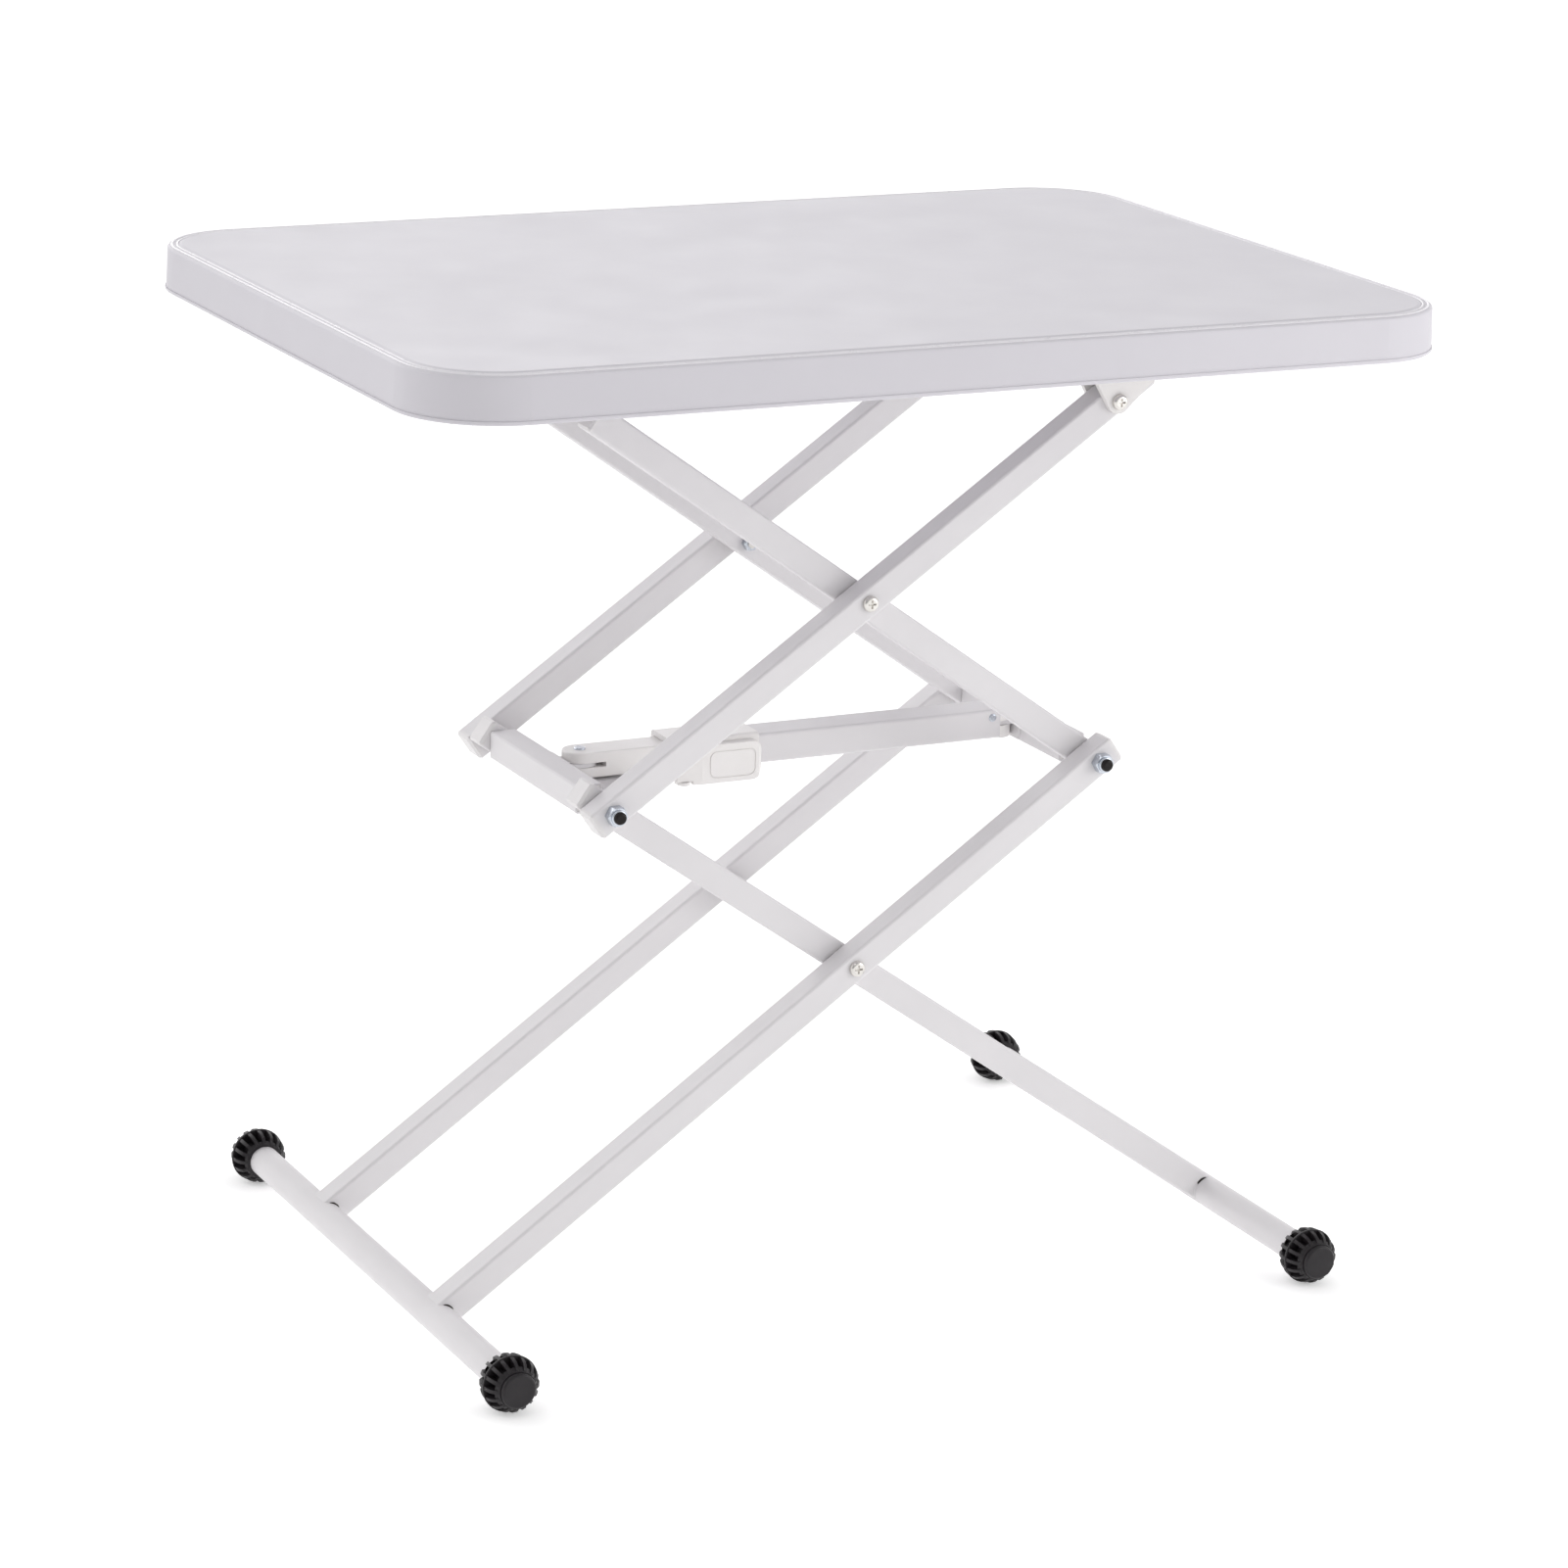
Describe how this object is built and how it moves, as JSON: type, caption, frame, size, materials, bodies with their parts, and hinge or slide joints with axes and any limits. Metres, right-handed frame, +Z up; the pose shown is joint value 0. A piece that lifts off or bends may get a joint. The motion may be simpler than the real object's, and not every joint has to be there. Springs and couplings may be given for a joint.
{
  "type": "folding table",
  "caption": "White height-adjustable folding table: a moulded top on a double scissor of square tubes, with a telescopic lock strut and ribbed feet.",
  "frame": {"origin": "on the floor below the middle of the table top", "axes": "+Z up, +X along the top's long edge towards its hinged end, -Y to the front, where the lock lever is"},
  "size_m": [0.76, 0.536, 0.7069],
  "materials": {
    "top_plastic": "fine satin moulded, white",
    "white_paint": "satin powder coat, white",
    "off_white_plastic": "satin moulded, warm white",
    "nylon": "satin natural nylon",
    "black_plastic": "satin black",
    "bright_screws": "bright nickel plate",
    "zinc_steel": "bright zinc plate"
  },
  "bodies": {
    "tabletop": {"table_top": "top_plastic", "hinge_brackets": "off_white_plastic", "hinge_bracket_screws": "bright_screws", "hinge_screws": "bright_screws", "hinge_nuts": "zinc_steel", "slide_rails": "off_white_plastic", "slide_rail_screws": "bright_screws"},
    "upper_outer_frame": {"upper_outer_legs": "white_paint", "upper_outer_plugs": "off_white_plastic", "upper_pivot_screws": "bright_screws", "upper_pivot_nuts": "zinc_steel", "upper_pivot_washers": "nylon"},
    "upper_inner_frame": {"upper_inner_legs": "white_paint", "upper_inner_plugs": "off_white_plastic", "slide_rod": "zinc_steel"},
    "lower_outer_frame": {"lower_outer_legs": "white_paint", "lower_outer_plugs": "off_white_plastic", "left_foot_bar": "white_paint", "left_foot_caps": "black_plastic", "lower_pivot_screws": "bright_screws", "lower_pivot_nuts": "zinc_steel", "lower_pivot_washers": "nylon"},
    "lower_inner_frame": {"lower_inner_legs": "white_paint", "lower_inner_plugs": "off_white_plastic", "right_foot_bar": "white_paint", "right_foot_caps": "black_plastic"},
    "slide_bar_half": {"left_crossbar": "white_paint", "left_crossbar_inserts": "off_white_plastic", "left_middle_studs": "zinc_steel", "left_middle_nuts": "zinc_steel", "left_nut_caps": "black_plastic", "left_middle_washers": "nylon", "left_strut_bracket": "white_paint", "strut_slide_bar": "off_white_plastic", "left_strut_rivet": "zinc_steel"},
    "strut_tube_half": {"right_crossbar": "white_paint", "right_crossbar_inserts": "off_white_plastic", "right_middle_studs": "zinc_steel", "right_middle_nuts": "zinc_steel", "right_nut_caps": "black_plastic", "right_middle_washers": "nylon", "right_strut_bracket": "white_paint", "strut_tube": "white_paint", "strut_end_fork": "off_white_plastic", "strut_rivets": "zinc_steel", "right_strut_rivet": "zinc_steel", "lock_housing": "off_white_plastic", "lock_pin": "zinc_steel"},
    "lock_lever": {"lock_lever": "off_white_plastic"}
  },
  "joints": [
    {"name": "fold", "type": "hinge", "parent": "tabletop", "child": "upper_outer_frame", "pos_m": [0.19404, 0, 0.62633], "axis": [0, 1, 0], "range_deg": [0, 31.5]},
    {"name": "upper_cross", "type": "hinge", "parent": "upper_outer_frame", "child": "upper_inner_frame", "pos_m": [0.0083, 0, 0.49723], "axis": [0, 1, 0], "range_deg": [-63, 0]},
    {"name": "left_middle", "type": "hinge", "parent": "upper_outer_frame", "child": "lower_inner_frame", "pos_m": [-0.17991, 0, 0.36642], "axis": [0, 1, 0], "range_deg": [-63, 0]},
    {"name": "right_middle", "type": "hinge", "parent": "upper_inner_frame", "child": "lower_outer_frame", "pos_m": [0.19651, 0, 0.36642], "axis": [0, 1, 0], "range_deg": [0, 63]},
    {"name": "left_crossbar_level", "type": "hinge", "parent": "upper_outer_frame", "child": "slide_bar_half", "pos_m": [-0.17991, 0, 0.36642], "axis": [0, 1, 0], "range_deg": [-31.5, 0]},
    {"name": "right_crossbar_level", "type": "hinge", "parent": "upper_inner_frame", "child": "strut_tube_half", "pos_m": [0.19651, 0, 0.36642], "axis": [0, 1, 0], "range_deg": [0, 31.5]},
    {"name": "lock_lever_pull", "type": "hinge", "parent": "strut_tube_half", "child": "lock_lever", "pos_m": [-0.08291, -0.0201, 0.36642], "axis": [0, 0, -1], "range_deg": [0, 15], "stiffness_Nm_per_rad": 0.05, "springref_deg": -5.73}
  ],
  "couplings": [
    {"joint": "upper_cross", "follows": "fold", "ratio": -2},
    {"joint": "left_middle", "follows": "fold", "ratio": -2},
    {"joint": "right_middle", "follows": "fold", "ratio": 2},
    {"joint": "left_crossbar_level", "follows": "fold", "ratio": -1},
    {"joint": "right_crossbar_level", "follows": "fold", "ratio": 1}
  ]
}
